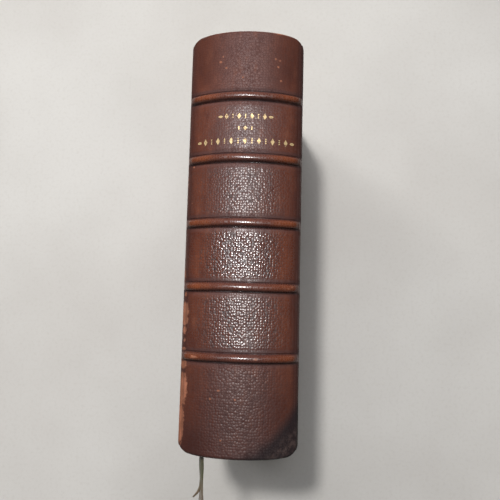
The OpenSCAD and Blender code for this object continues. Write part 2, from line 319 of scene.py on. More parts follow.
def leather_material(groups):
    """Red-brown goatskin with dark tooled lines, rubbed joints and a stained corner, with painted sheen
    on the crown, painted shade along the spine's sides and a painted shadow beside each band.
    """
    material, tree, shader = new_material("goatskin")
    place = object_place(tree)
    grain = use_group(tree, groups["grain"], {"Vector": place, "Scale": 1260.0})
    cloud = noise_value(tree, place, 70.0, 4.0, 0.6)
    streak = noise_value(tree, object_place(tree, (1, 0.35, 1)), 420.0, 3.0, 0.65)
    patchy = remap(tree, cloud, 0.25, 0.7, 0.7, 1.15)
    grained = maths(tree, "MULTIPLY", attribute(tree, "grained"), patchy)
    tone = mix_colour(tree, remap(tree, cloud, 0.3, 0.72), (0.072, 0.019, 0.011), (0.130, 0.037, 0.019))
    # Purple-grey tone: partly faded leather, partly painted sheen of the lamps on the crown and beside
    # the bands
    tone = mix_colour(tree, attribute(tree, "fade_and_painted_sheen"), tone, (0.098, 0.042, 0.036))
    lighter = maths(tree, "MULTIPLY", maths(tree, "MULTIPLY", grain["Cell"], 0.3), grained)
    tone = mix_colour(tree, lighter, tone, (0.17, 0.060, 0.036))
    deep = maths(tree, "MULTIPLY", maths(tree, "MULTIPLY", grain["Valley"], 0.8), grained)
    tone = mix_colour(tree, deep, tone, (0.022, 0.007, 0.007))
    tone = mix_colour(tree, remap(tree, streak, 0.5, 0.74, 0.0, 0.55), tone, (0.050, 0.013, 0.010))
    tone = mix_colour(tree, remap(tree, streak, 0.44, 0.3, 0.0, 0.3), tone, (0.17, 0.058, 0.032))
    warm = maths(tree, "MULTIPLY", attribute(tree, "warm"), remap(tree, streak, 0.3, 0.6, 1.0, 0.7))
    tone = mix_colour(tree, warm, tone, (0.185, 0.050, 0.018))
    # Darker leather at the tail corner, the spine's ends and the covers' foot, with painted shade along
    # the spine's sides
    tone = mix_colour(tree, attribute(tree, "dark_and_painted_shade"), tone, (0.030, 0.008, 0.006))
    rub = use_group(tree, groups["blotch"], {"Vector": place, "Patch": attribute(tree, "rubbed"),
                                             "Scale": 800.0, "Softness": 0.3})["Mask"]
    worn = mix_colour(tree, remap(tree, streak, 0.35, 0.65), (0.33, 0.128, 0.073), (0.22, 0.083, 0.044))
    tone = mix_colour(tree, maths(tree, "MULTIPLY", rub, 0.9), tone, worn)
    # Dark tooled lines; the thick tail-side one is partly a painted shadow of each band
    tooled = attribute(tree, "tooled")
    tone = mix_colour(tree, maths(tree, "MULTIPLY", tooled, 0.8), tone, (0.016, 0.008, 0.009))
    stained = attribute(tree, "stained")
    stain = use_group(tree, groups["blotch"], {"Vector": place, "Patch": stained, "Scale": 170.0,
                                               "Softness": 1.3})["Mask"]
    tone = mix_colour(tree, maths(tree, "MULTIPLY", stain, 0.95), tone, (0.010, 0.005, 0.006))
    chalk = remap(tree, noise_value(tree, place, 650.0, 4.0, 0.7), 0.42, 0.68, 0.0, 0.5)
    chalk = maths(tree, "MULTIPLY", chalk, remap(tree, stained, 1.1, 2.0))
    tone = mix_colour(tree, chalk, tone, (0.090, 0.060, 0.052))
    rough = maths(tree, "MULTIPLY_ADD", grain["Valley"], 0.3, 0.22)
    rough = maths(tree, "MULTIPLY_ADD", attribute(tree, "polished"), -0.08, rough)
    rough = maths(tree, "MULTIPLY_ADD", rub, 0.25, rough)
    rough = maths(tree, "MULTIPLY_ADD", stain, 0.35, rough)
    height = maths(tree, "MULTIPLY", grain["Height"], grained)
    height = maths(tree, "MULTIPLY_ADD", streak, 0.25, height)
    bump = add(tree, "ShaderNodeBump", {"Height": height, "Strength": 1.0, "Distance": 0.000075})
    shine = remap(tree, attribute(tree, "polished"), -2.8, 0.0, 0.42, 0.85, smooth=False)
    set_shader(tree, shader, Base_Color=tone, Roughness=rough, Normal=bump.outputs[0],
               Specular_IOR_Level=shine)
    return material


def gilt_material():
    """Gold leaf worn thin over the leather."""
    material, tree, shader = new_material("worn_gilt")
    place = object_place(tree)
    wear = noise_value(tree, place, 1500.0, 4.0, 0.7)
    left = remap(tree, wear, 0.35, 0.53)
    colour = mix_colour(tree, left, (0.14, 0.055, 0.03), (0.72, 0.54, 0.28))
    set_shader(tree, shader, Base_Color=colour, Metallic=maths(tree, "MULTIPLY", left, 0.55),
               Roughness=remap(tree, wear, 0.3, 0.7, 0.6, 0.42))
    return material


def page_edge_material():
    """Leaf edges: fine lines across the thickness, darkened by handling."""
    material, tree, shader = new_material("page_edges")
    across = object_place(tree, (1, 0.012, 0.012))
    lines = noise_value(tree, across, 7000.0, 3.0, 0.7)
    groups_of = noise_value(tree, across, 900.0, 2.0, 0.5)
    grime = noise_value(tree, object_place(tree), 55.0, 5.0, 0.65)
    tone = mix_colour(tree, remap(tree, lines, 0.3, 0.7), (0.33, 0.25, 0.145), (0.62, 0.52, 0.36))
    tone = mix_colour(tree, remap(tree, groups_of, 0.55, 0.75, 0.0, 0.4), tone, (0.30, 0.22, 0.12))
    tone = mix_colour(tree, remap(tree, grime, 0.5, 0.75, 0.0, 0.45), tone, (0.27, 0.19, 0.11))
    bump = add(tree, "ShaderNodeBump", {"Height": lines, "Strength": 0.6, "Distance": 0.00008})
    set_shader(tree, shader, Base_Color=tone, Roughness=0.85, Normal=bump.outputs[0])
    return material


def paper_material():
    """Laid endpaper, foxed with age."""
    material, tree, shader = new_material("aged_paper")
    place = object_place(tree)
    cloud = noise_value(tree, place, 35.0, 5.0, 0.6)
    fibre = noise_value(tree, object_place(tree, (1, 1, 0.25)), 2600.0, 3.0, 0.6)
    spots = add(tree, "ShaderNodeTexVoronoi", {"Vector": place, "Scale": 120.0, "Randomness": 1.0},
                feature="F1").outputs["Distance"]
    tone = mix_colour(tree, remap(tree, cloud, 0.3, 0.75), (0.60, 0.50, 0.33), (0.70, 0.62, 0.46))
    tone = mix_colour(tree, remap(tree, spots, 0.10, 0.03, 0.0, 0.4), tone, (0.36, 0.20, 0.09))
    bump = add(tree, "ShaderNodeBump", {"Height": fibre, "Strength": 0.35, "Distance": 0.00006})
    set_shader(tree, shader, Base_Color=tone, Roughness=0.88, Normal=bump.outputs[0])
    return material


def silk_material():
    """Endband silk in two colours, wound side by side."""
    material, tree, shader = new_material("endband_silk")
    stripe = attribute(tree, "stripe")
    fuzz = noise_value(tree, object_place(tree), 5200.0, 2.0, 0.6)
    tone = mix_colour(tree, stripe, (0.50, 0.41, 0.26), (0.17, 0.05, 0.035))
    tone = mix_colour(tree, remap(tree, fuzz, 0.4, 0.8, 0.0, 0.4), tone, (0.10, 0.065, 0.04))
    bump = add(tree, "ShaderNodeBump", {"Height": fuzz, "Strength": 0.5, "Distance": 0.00005})
    set_shader(tree, shader, Base_Color=tone, Roughness=0.62, Normal=bump.outputs[0], Sheen_Weight=0.3,
               Sheen_Roughness=0.4)
    return material


def ribbon_material():
    """Faded ribbed silk."""
    material, tree, shader = new_material("ribbon_silk")
    along = attribute(tree, "along")
    across = attribute(tree, "across")
    rib = maths(tree, "SINE", maths(tree, "MULTIPLY", along, 14500.0))
    thread = maths(tree, "SINE", maths(tree, "MULTIPLY", across, 26000.0))
    weave = maths(tree, "MULTIPLY_ADD", rib, 0.6, maths(tree, "MULTIPLY", thread, 0.4))
    fade = remap(tree, along, 0.021, 0.029)
    cloud = noise_value(tree, object_place(tree), 500.0, 3.0, 0.6)
    tone = mix_colour(tree, fade, (0.075, 0.078, 0.042), (0.150, 0.105, 0.058))
    tone = mix_colour(tree, remap(tree, cloud, 0.4, 0.75, 0.0, 0.35), tone, (0.20, 0.15, 0.09))
    tone = mix_colour(tree, remap(tree, weave, 0.2, -0.8, 0.0, 0.45), tone, (0.04, 0.032, 0.02))
    bump = add(tree, "ShaderNodeBump", {"Height": weave, "Strength": 0.6, "Distance": 0.00006})
    set_shader(tree, shader, Base_Color=tone, Roughness=0.6, Normal=bump.outputs[0], Sheen_Weight=0.15,
               Sheen_Roughness=0.35)
    return material


def fibre_material(name, dark, light, scale, depth):
    """Card, linen or cord: matted fibres between two tones."""
    material, tree, shader = new_material(name)
    place = object_place(tree)
    fibre = noise_value(tree, place, scale, 5.0, 0.7, 0.8)
    tone = mix_colour(tree, remap(tree, fibre, 0.3, 0.7), dark, light)
    bump = add(tree, "ShaderNodeBump", {"Height": fibre, "Strength": 0.6, "Distance": depth})
    set_shader(tree, shader, Base_Color=tone, Roughness=0.9, Normal=bump.outputs[0])
    return material


def floor_material():
    material, tree, shader = new_material("pale_board")
    place = object_place(tree)
    cloud = noise_value(tree, place, 9.0, 4.0, 0.55)
    speck = noise_value(tree, place, 700.0, 3.0, 0.6)
    tone = mix_colour(tree, remap(tree, cloud, 0.3, 0.7), (0.49, 0.475, 0.45), (0.56, 0.55, 0.525))
    tone = mix_colour(tree, remap(tree, speck, 0.45, 0.75, 0.0, 0.16), tone, (0.36, 0.33, 0.29))
    bump = add(tree, "ShaderNodeBump", {"Height": speck, "Strength": 0.2, "Distance": 0.0001})
    set_shader(tree, shader, Base_Color=tone, Roughness=0.75, Normal=bump.outputs[0])
    return material


def finished(bm, name, material, sharp=35):
    """The mesh as an object at the origin, its faces outwards and its hard edges kept sharp."""
    bmesh.ops.remove_doubles(bm, verts=bm.verts, dist=1e-7)
    bmesh.ops.recalc_face_normals(bm, faces=bm.faces)
    for face in bm.faces:
        face.smooth = True
    mesh = bpy.data.meshes.new(name)
    bm.to_mesh(mesh)
    bm.free()
    mesh.set_sharp_from_angle(angle=math.radians(sharp))
    mesh.materials.append(material)
    piece = bpy.data.objects.new(name, mesh)
    bpy.context.collection.objects.link(piece)
    return piece


def points_of(piece):
    """The places of a piece's points, as three arrays of millimetres."""
    co = np.empty(len(piece.data.vertices) * 3, np.float32)
    piece.data.vertices.foreach_get("co", co)
    return (co.reshape(-1, 3) / MM).T.astype(float)


def paint(piece, name, values):
    """Writes an attribute on the piece's points."""
    layer = piece.data.attributes.new(name, "FLOAT", "POINT")
    layer.data.foreach_set("value", np.asarray(values, np.float32))


def loop_of(bm, points):
    """A closed loop of edges through the points. The layer "place" keeps the number of each."""
    layer = bm.verts.layers.int.new("place")
    corners = [bm.verts.new(p) for p in points]
    for i, corner in enumerate(corners):
        corner[layer] = i
    return corners + [bm.edges.new((corners[i - 1], corners[i])) for i in range(len(corners))]


def swept(points, direction, steps):
    """A closed outline drawn along a straight line in equal steps, with both ends filled."""
    bm = bmesh.new()
    bmesh.ops.spin(bm, geom=loop_of(bm, points), cent=(0, 0, 0), axis=(0, 0, 1), angle=0,
                   dvec=Vector(direction) / steps, steps=steps)
    fill_ends(bm)
    return bm


def fill_ends(bm):
    """Closes the open loops that a sweep leaves."""
    bmesh.ops.holes_fill(bm, edges=[edge for edge in bm.edges if edge.is_boundary], sides=0)


def tooled_groove(d, middle, depth, half):
    """Height of the leather, below 0, at d in a groove with this middle, depth and half-width."""
    return -depth * math.exp(-(((d - middle) / half) ** 2))


def bump_height(d):
    """Height of the leather over and beside a raised band, at a distance d towards the head."""
    dome = BAND_RISE * max(0.0, 1 - (abs(d) / (0.56 * BAND_W)) ** 2.4) ** 0.7
    head = tooled_groove(d, HEAD_LINE, 0.2 * MM, 0.17 * MM)
    tail = tooled_groove(d, TAIL_LINE, 0.3 * MM, 0.24 * MM)
    second = tooled_groove(d, SECOND_LINE, 0.08 * MM, 0.14 * MM)
    pressed = tooled_groove(abs(d), PRESSED_STRIP, 0.05 * MM, 0.6 * MM)
    return dome + (head + tail + second) + pressed


def arc_points(cx, cz, radius, start, end, steps):
    """Points on a circle in the section of the book, by angle from the crown, in radians."""
    turns = [start + (end - start) * i / steps for i in range(steps + 1)]
    return [(cx + radius * math.sin(t), cz + radius * math.cos(t)) for t in turns]


def uneven(x, y, z, scale, depth):
    """Slight unevenness of hand-pared leather."""
    return depth * noise.noise(Vector((x, y, z)) * scale)


# Rubbed places on the spine and its joints: (x, y, half-width, half-length, strength), in millimetres
RUBBED = [(-17.2, -22.4, 1.3, 2.2, 1.05), (-16.9, -25.6, 1.0, 1.6, 1.0), (-17.0, -28.6, 0.7, 1.2, 0.9),
          (-17.3, -38.6, 1.3, 1.4, 1.0), (-17.2, -46, 1.5, 4.4, 1.15), (-17.3, -56, 1.1, 5.6, 1.1),
          (-17.7, -12, 0.6, 4, 0.6), (-17.0, -34.2, 0.8, 0.6, 0.8),
          (-17.0, -17.5, 0.5, 1.4, 0.7), (-16.8, -31.5, 0.5, 0.8, 0.6), (-17.7, 18, 0.5, 7, 0.45),
          (-8, 55, 0.5, 0.45, 0.78), (-6.3, 52.9, 0.45, 0.4, 0.78), (-7.3, 56.7, 0.4, 0.3, 0.7),
          (9.2, 56.1, 0.4, 0.45, 0.76), (10.5, 55.7, 0.5, 0.4, 0.78), (9.9, 53.6, 0.4, 0.4, 0.74),
          (10.9, 49.2, 0.45, 0.35, 0.76), (-0.9, 49.6, 0.5, 0.3, 0.74), (10.6, 64.8, 3.2, 0.6, 0.8),
          (-7, 64.8, 2.4, 0.4, 0.6), (-5.6, -45.6, 0.5, 0.4, 0.85), (-8, -48.1, 0.4, 0.4, 0.8),
          (-0.6, -47.9, 0.35, 0.35, 0.85), (-4.5, -59.5, 0.4, 0.35, 0.75), (15.4, -14.8, 0.5, 0.6, 0.7),
          (-15.8, 22, 0.35, 0.35, 0.8), (-16, 10.5, 0.3, 0.3, 0.7), (5.2, -36.2, 0.9, 0.5, 0.65),
          (-13.5, -36.2, 1.6, 0.5, 0.7), (14.4, -15.5, 0.7, 0.5, 0.6), (-2.5, -65, 3, 0.3, 0.5)]
RUBBED_FLOOR = 76

# Where the stain starts across the spine, and how far down the cover it may run, in millimetres
STAIN_START = -2
STAIN_FLOOR = 40

# How strong the grain is in each panel of the spine, from the head to the tail, and how polished
PANEL_GRAIN = [0.3, 0.38, 0.85, 1.0, 1.0, 0.7]
PANEL_POLISH = [-2.8, -1.3, -0.9, 0.6, -0.3, -2.3]


def bell(value, half, power=2.0):
    return np.exp(-(np.abs(value) / half) ** power)


def ramp(value, low, high):
    return np.clip((value - low) / (high - low), 0, 1)


def rubbing(x, y, z, on_back):
    """Leather rubbed pale: the marks in RUBBED, and the corners and rims of the covers."""
    rubbed = np.zeros(len(x))
    for mark_x, mark_y, half_x, half_y, strength in RUBBED:
        mark = strength * np.exp(-0.7 * (((x - mark_x) / half_x) ** 2 + ((y - mark_y) / half_y) ** 2))
        rubbed = np.maximum(rubbed, np.where(z > RUBBED_FLOOR, mark, 0))
    cap_flap = (np.abs(y) > 63.5) & on_back
    rubbed *= np.where(cap_flap, ramp(np.hypot(x, z - SPINE_Z / MM), 30.3, 31.3), 1)
    corner = np.maximum(np.abs(y) - 63.6, 3.5 - z)
    rubbed = np.maximum(rubbed, np.where(z < RUBBED_FLOOR, 0.3 * np.clip(corner, 0, 1), 0))
    rim = (np.abs(x) > 17.2) & ((np.abs(y) > 64.4) | (z < 0.7))
    return np.maximum(rubbed, 0.55 * rim)


def staining(x, y, z):
    """The dark stain over the front corner of the tail, which runs down onto the cover."""
    across = x - STAIN_START
    edge_y = -65.6 + 0.2 * across + 0.031 * across ** 2 - 0.037 * np.maximum(78 - z, 0) ** 2
    reach = np.where(x > STAIN_START, 0.5 + (edge_y - y) / 4.5, 0)
    return np.where(z > STAIN_FLOOR, np.clip(reach, 0, 2.2), 0)


def darkening_and_painted_shade(x, y, z, side, on_back):
    """Darker leather: the back corner of the tail, the spine's ends and the foot of the covers, and
    painted shade along the spine's sides where they turn down to the joints.
    """
    tail_corner = 0.9 * bell(x + 13, 10) * bell(y + 63, 12)
    # Painted shade where the spine turns down to the joints, deeper on the right
    edges = np.where(x > 0, 0.85, 0.7) * np.where(z > 70, ramp(side, 0.82, 1.02), 0)
    ends = 0.58 * ramp(-y, 25, 54) + 0.45 * ramp(y, 46, 52) * ramp(side, 0.25, 0.8)
    return np.maximum(np.maximum(tail_corner, edges), np.where(on_back, ends, 0.25 * bell(z, 5)))


def tooling_and_band_shadow(x, y, d, angle):
    """The dark lines beside each band, the thick one on the tail side partly a painted shadow of the
    band, and the crease at each joint, deeper at the worn one.
    """
    crease = np.where((x < 0) & (y < 25), 0.7, 0.3) * bell((angle - CREASE_A) * SPINE_R / MM, 0.22)
    # The tail-side line is tooling darkened further as a painted shadow of the raised band
    lines = np.maximum(bell(d - HEAD_LINE / MM, 0.22), bell(d - TAIL_LINE / MM, 0.34))
    lines = np.maximum(lines, 0.6 * bell(d - SECOND_LINE / MM, 0.16))
    lines = np.maximum(lines, 0.5 * bell(d - 2.0, 0.6, 4))
    return np.maximum(crease, lines)


def paint_leather(piece):
    """Paints wear, stains, tooling, shine, grain, painted sheen and painted shade on the points of the
    leather, in millimetres.
    """
    x, y, z = points_of(piece)
    bands = np.array(BAND_Y) / MM
    away = y[:, None] - bands
    d = away[np.arange(len(y)), np.abs(away).argmin(axis=1)]
    panel = (y[:, None] < bands).sum(axis=1)
    angle = np.abs(np.arctan2(x, z - SPINE_Z / MM))
    side = angle / SHOULDER_A
    on_back = z > SHOULDER_Z / MM - 1

    paint(piece, "rubbed", rubbing(x, y, z, on_back))
    paint(piece, "stained", staining(x, y, z))
    paint(piece, "dark_and_painted_shade", darkening_and_painted_shade(x, y, z, side, on_back))
    paint(piece, "tooled", np.where(on_back, tooling_and_band_shadow(x, y, d, angle), 0))

    band = bell(d, 1.0, 4)
    strip = bell(np.abs(d) - 2.3, 0.8, 4)
    polished = np.array(PANEL_POLISH)[panel] * (1 - band) + band - 1.8 * strip
    paint(piece, "polished", np.where(on_back, polished - 1.5 * ramp(side, 0.85, 1.0), -1.2))
    warm = band * (0.25 + 0.65 * ramp(side, 0.35, 0.95)) + 0.12 * ramp(side, 0.35, 0.8)
    paint(piece, "warm", np.where(on_back, warm, 0.1))
    # Painted sheen, partly a fade: purple-grey on the crown and in the smooth strips beside the bands
    crown = 0.8 * bell(side, 0.62, 4)
    strips = 0.9 * bell(np.abs(d) - 2.1, 0.55) * (1 - 0.5 * ramp(side, 0.6, 0.95))
    paint(piece, "fade_and_painted_sheen", np.where(on_back, np.maximum(crown, strips), 0.1))
    field = ramp(np.abs(d), 1.9, 3.4) * (1 - 0.6 * ramp(side, 0.5, 0.85))
    paint(piece, "grained", np.where(on_back, 0.05 + np.array(PANEL_GRAIN)[panel] * field, 0.55))


def from_band(y):
    """Signed distance to the nearest raised band, positive towards the head."""
    return min((y - band for band in BAND_Y), key=abs)


def spine_stations():
    """Places along the spine at which its profile has a point, closer together over the bands."""
    stations, y = [], -HALF_H + CAP_R
    while y < HALF_H - CAP_R:
        stations.append(y)
        near = min(abs(y - band) for band in BAND_Y)
        y += 0.13 * MM if near < 2.4 * MM else 0.36 * MM
    return stations + [HALF_H - CAP_R]


def spine_profile():
    """Outline of the spine's leather in (radius, y), with its bends and the lips of its headcaps."""
    bend_y, bend_r = HALF_H - CAP_R, SPINE_R - CAP_R
    turns = [math.radians(a) for a in range(0, 91, 15)]
    tail = [(bend_r + CAP_R * math.cos(t), -bend_y - CAP_R * math.sin(t)) for t in reversed(turns)]
    head = [(bend_r + CAP_R * math.cos(t), bend_y + CAP_R * math.sin(t)) for t in turns]
    lip, lip_steps = SPINE_R - CAP_LIP, 5
    lips = [lip + (bend_r - lip) * i / lip_steps for i in range(lip_steps)]
    outer = [(r, -HALF_H) for r in lips] + tail[:-1]
    outer += [(SPINE_R, y) for y in spine_stations()]
    outer += head[1:] + [(r, HALF_H) for r in reversed(lips)]
    inner_r = SPINE_R - LEATHER_T
    inner = [(lip, HALF_H - LEATHER_T), (bend_r, HALF_H - LEATHER_T), (inner_r, bend_y)]
    inner += [(inner_r, -bend_y), (bend_r, -HALF_H + LEATHER_T), (lip, -HALF_H + LEATHER_T)]
    return outer + inner


def on_spine(angle, radius, y):
    """A place on or under the spine's leather, which turns down round a shoulder on each side."""
    if abs(angle) <= SHOULDER_A:
        return (radius * math.sin(angle), y, SPINE_Z + radius * math.cos(angle))
    radius -= SPINE_R - SHOULDER_R
    centre = math.copysign(SHOULDER_X, angle)
    return (centre + radius * math.sin(angle), y, SHOULDER_Z + radius * math.cos(angle))


def spine_rows():
    """Angles from upright at which the spine's leather has a row of points."""
    crown_steps, shoulder_steps = 92, 12
    crown = [SHOULDER_A * (2 * i / crown_steps - 1) for i in range(crown_steps + 1)]
    bend = SEAM_A - SHOULDER_A
    turn = [SHOULDER_A + bend * i / shoulder_steps for i in range(1, shoulder_steps + 1)]
    return [-angle for angle in reversed(turn)] + crown + turn


def spine_skin(leather):
    """The leather of the spine, from seam to seam, moulded over the bands and bent in at the ends."""
    profile, rows = spine_profile(), spine_rows()
    bm = swept([(0, y, r) for r, y in profile], (len(rows) - 1, 0, 0), len(rows) - 1)
    layer = bm.verts.layers.int["place"]
    for vertex in bm.verts:
        radius, y = profile[vertex[layer]]
        vertex.co = shaped_spine_point(rows[round(vertex.co.x)], radius, y)
    return finished(bm, "spine_goatskin", leather)


def shaped_spine_point(angle, radius, y):
    """Raises the bands, presses the lines and the crease, and lets the lips fade at the joints."""
    across = abs(angle)
    run = SPINE_R * min(across, SHOULDER_A) + SHOULDER_R * max(across - SHOULDER_A, 0)
    x, bend_r = SPINE_R * math.sin(angle), SPINE_R - CAP_R
    if radius >= SPINE_R - 0.01 * MM:
        wander = uneven(x, y * 0.1, 0, 90, 0.12 * MM)
        lift = bump_height(from_band(y) + wander)
        radius += lift * (1 - min(max((run - BAND_END) / (BAND_TIP - BAND_END), 0), 1) ** 1.6)
        radius += tooled_groove(run, SPINE_R * CREASE_A, 0.12 * MM, 0.22 * MM)
        radius += uneven(x, y, 0, 130, 0.05 * MM) * (1 - min(across / SHOULDER_A, 1) ** 4)
    elif radius < bend_r:
        reach = 1 - 0.4 * min(across / SHOULDER_A, 1) ** 3
        radius = bend_r - (bend_r - radius) * reach
        y += math.copysign(1, y) * uneven(x, 0, 0, 350, 0.05 * MM)
    x, _, z = on_spine(angle, radius, y)
    return (x, math.copysign(end_softened(abs(y), x, z), y), z)


def cover_outline():
    """Section of the front cover's leather, from the seam at the joint round the board and back."""
    level = math.pi / 2
    tuck = SEAM_A - math.radians(2)
    outer = arc_points(SHOULDER_X, SHOULDER_Z, SHOULDER_R, SEAM_A, level, 10)
    outer[0] = arc_points(SHOULDER_X, SHOULDER_Z, SHOULDER_R - 0.1 * MM, tuck, level, 1)[0]
    side_steps = 60
    side = [SHOULDER_Z + (EDGE_R - SHOULDER_Z) * i / side_steps for i in range(1, side_steps + 1)]
    outer += [(HALF_T, z) for z in side]
    outer += arc_points(HALF_T - EDGE_R, EDGE_R, EDGE_R, level, 2 * level, 6)[1:]
    outer += arc_points(COVER_IN + EDGE_R, EDGE_R, EDGE_R, 2 * level, 3 * level, 6)
    inner_steps = 24
    inner_run = BOARD_TOP - 0.9 * MM - EDGE_R
    outer += [(COVER_IN, EDGE_R + inner_run * i / inner_steps) for i in range(1, inner_steps + 1)]
    back = [(COVER_IN + 0.7 * MM, BOARD_TOP), (HALF_T - LEATHER_T, BOARD_TOP)]
    back += arc_points(SHOULDER_X, SHOULDER_Z, SHOULDER_R - LEATHER_T, level, tuck, 6)
    return outer + back, len(outer)


def outward(outline, i):
    """Direction that faces out of a clockwise outline at one of its points."""
    before, after = outline[i - 1], outline[(i + 1) % len(outline)]
    run = Vector((after[0] - before[0], after[1] - before[1])).normalized()
    return Vector((-run.y, run.x))


def cover_rows():
    """Places along a cover at which its leather has a row of points, close together at both ends."""
    ends = [EDGE_R * d for d in (0, 0.04, 0.13, 0.27, 0.46, 0.7, 1)]
    middle_steps = 240
    reach = HALF_H - EDGE_R
    middle = [-reach + 2 * reach * i / middle_steps for i in range(1, middle_steps)]
    return [d - HALF_H for d in ends] + middle + [HALF_H - d for d in reversed(ends)]


def cover_skin(side, name, leather):
    """The leather of one cover and its joint, wrapped round the board; side is 1 at the front."""
    outline, outer_count = cover_outline()
    rows = cover_rows()
    bm = swept([(x, 0, z) for x, z in outline], (0, len(rows) - 1, 0), len(rows) - 1)
    layer = bm.verts.layers.int["place"]
    for vertex in bm.verts:
        i = vertex[layer]
        thick = i < outer_count and vertex.co.z < BOARD_TOP + 0.3 * MM
        place = (vertex.co.x, rows[round(vertex.co.y)], vertex.co.z)
        if i > outer_count and HALF_H - abs(place[1]) < LEATHER_T:
            place = turned_in(place)
        vertex.co = cover_point(place, outward(outline, i), EDGE_R if thick else 0.26 * MM)
    if side < 0:
        bmesh.ops.scale(bm, vec=(-1, 1, 1), verts=bm.verts)
    return finished(bm, name, leather)


def turned_in(place):
    """Where the leather is turned in over the end of the board, and so closes the hollow joint."""
    x, y, z = place
    left = 0.05
    return (SHOULDER_X + left * (x - SHOULDER_X), y, SHOULDER_Z + left * (z - SHOULDER_Z))


def board(side, name, card):
    """A board, with its corners at the joint cut back where the leather is rounded off."""
    thick, tall = board_high.x - board_low.x, board_high.z - board_low.z
    steps, turn = 60, [i / 8 for i in range(9)]
    loop = [(board_low.x + thick * t, -1) for t in turn] + [(board_high.x - thick * t, 1) for t in turn]
    bm = swept([(x, u, 0) for x, u in loop], (0, 0, steps), steps)
    for vertex in bm.verts:
        x, z = vertex.co.x, board_low.z + tall * vertex.co.z / steps
        cut = HALF_H - end_softened(HALF_H, x + LEATHER_T, z)
        vertex.co = (x * side, vertex.co.y * (board_high.y - cut * 1.1), z)
    return finished(bm, name, card)


def end_softened(y, x, z):
    """Pulls the head and tail in where the shoulders are rounded off by wear."""
    share = min(max((z - WEAR_FLOOR) / WEAR_RISE, 0), 1)
    out = min(max(0.0, abs(x) - HALF_T + WEAR_R), WEAR_R)
    pull = WEAR_R - math.sqrt(WEAR_R ** 2 - out ** 2)
    wide = 0.7 * MM * (max(0.0, abs(x) - WEAR_REACH) / WEAR_REACH) ** 2
    reach = max(0.0, 1 - (HALF_H - y) / WEAR_REACH)
    return y - (pull * 0.85 + wide) * share * share * (3 - 2 * share) * reach


def cover_point(place, out, rounding):
    """Rounds the head, tail and corners of a cover and makes its face a little uneven."""
    x, y, z = place
    from_end = HALF_H - abs(y)
    inset = rounding - math.sqrt(max(rounding ** 2 - max(0.0, rounding - from_end) ** 2, 0))
    reach = HALF_H
    if z < CORNER_R:
        reach -= CORNER_R - math.sqrt(CORNER_R ** 2 - (CORNER_R - z) ** 2)
    y = math.copysign(end_softened(reach - from_end * reach / HALF_H, x, z), y)
    if x > HALF_T - 0.1 * MM:
        inset += uneven(x, y, z, 60, 0.06 * MM)
    return (x - out.x * inset, y, z - out.y * inset)


# Slices across the leaves and in each shoulder, how unevenly the leaves are cut, and how often and
# how far a fold between two gatherings is sunk
LEAF_SLICES = 200
WING_SLICES = 6
TRIM = 0.07 * MM
GATHERING = 13
FOLD_SUNK = 0.10 * MM


def page_outline():
    """Outline of the leaves in (u, v): u from the tail at -1 to the head at 1, v from foot to back."""
    end_steps, long_steps = 14, 40
    ends = [i / end_steps for i in range(end_steps)]
    longs = [i / long_steps for i in range(long_steps)]
    loop = [(-1, t) for t in ends] + [(-1 + 2 * t, 1) for t in longs]
    return loop + [(1, 1 - t) for t in ends] + [(1 - 2 * t, 0) for t in longs]


def page_block(pages):
    """The leaves: slices across the thickness, each a leaf's width, cut a little unevenly."""
    low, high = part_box("text_block")
    leaf_low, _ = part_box("front_flyleaf")
    half, backed = leaf_low.x - 0.1 * MM, high.x
    arc_r = high.z - SPINE_Z
    total = LEAF_SLICES + 2 * WING_SLICES
    bm = swept([(0, u, v) for u, v in page_outline()], (total, 0, 0), total)
    rng = random.Random(11)
    head_cut, tail_cut, foot_cut = [[rng.uniform(-1, 1) for _ in range(total + 1)] for _ in range(3)]
    hollow_z = low.z - math.sqrt(arc_r ** 2 - half ** 2)
    for vertex in bm.verts:
        i = round(vertex.co.x)
        u, v = vertex.co.y, vertex.co.z
        in_leaves = WING_SLICES <= i <= total - WING_SLICES
        if in_leaves:
            x = half * (2 * (i - WING_SLICES) / LEAF_SLICES - 1)
            foot = hollow_z + math.sqrt(arc_r ** 2 - x * x)
        else:
            beyond = WING_SLICES - i if i < WING_SLICES else i - (total - WING_SLICES)
            share = (beyond - 1) / (WING_SLICES - 1)
            x = math.copysign(half + (backed - half) * share, i - total / 2)
            foot = backed_underside(x, backed, arc_r)
        sunk = FOLD_SUNK if i % GATHERING == 0 else 0.0
        top = SPINE_Z + math.sqrt(arc_r ** 2 - x * x)
        z = foot + (top - foot) * v
        y = u * high.y
        if abs(u) == 1:
            cut = head_cut if u > 0 else tail_cut
            y -= u * (TRIM * (1 + cut[i]) / 2 + sunk)
        if v == 0 and in_leaves:
            z += TRIM * (1 + foot_cut[i]) / 2 + sunk
        vertex.co = (x, y, z)
    return finished(bm, "leaves", pages, sharp=20)


def backed_underside(x, backed, arc_r):
    """Underside of the shoulder into which the leaves are backed."""
    edge_z = SPINE_Z + math.sqrt(arc_r ** 2 - backed ** 2) - 0.6 * MM
    return edge_z - (backed - abs(x))


# Turns of silk in one pair of the endband's stripes
STRIPE_TURNS = 4


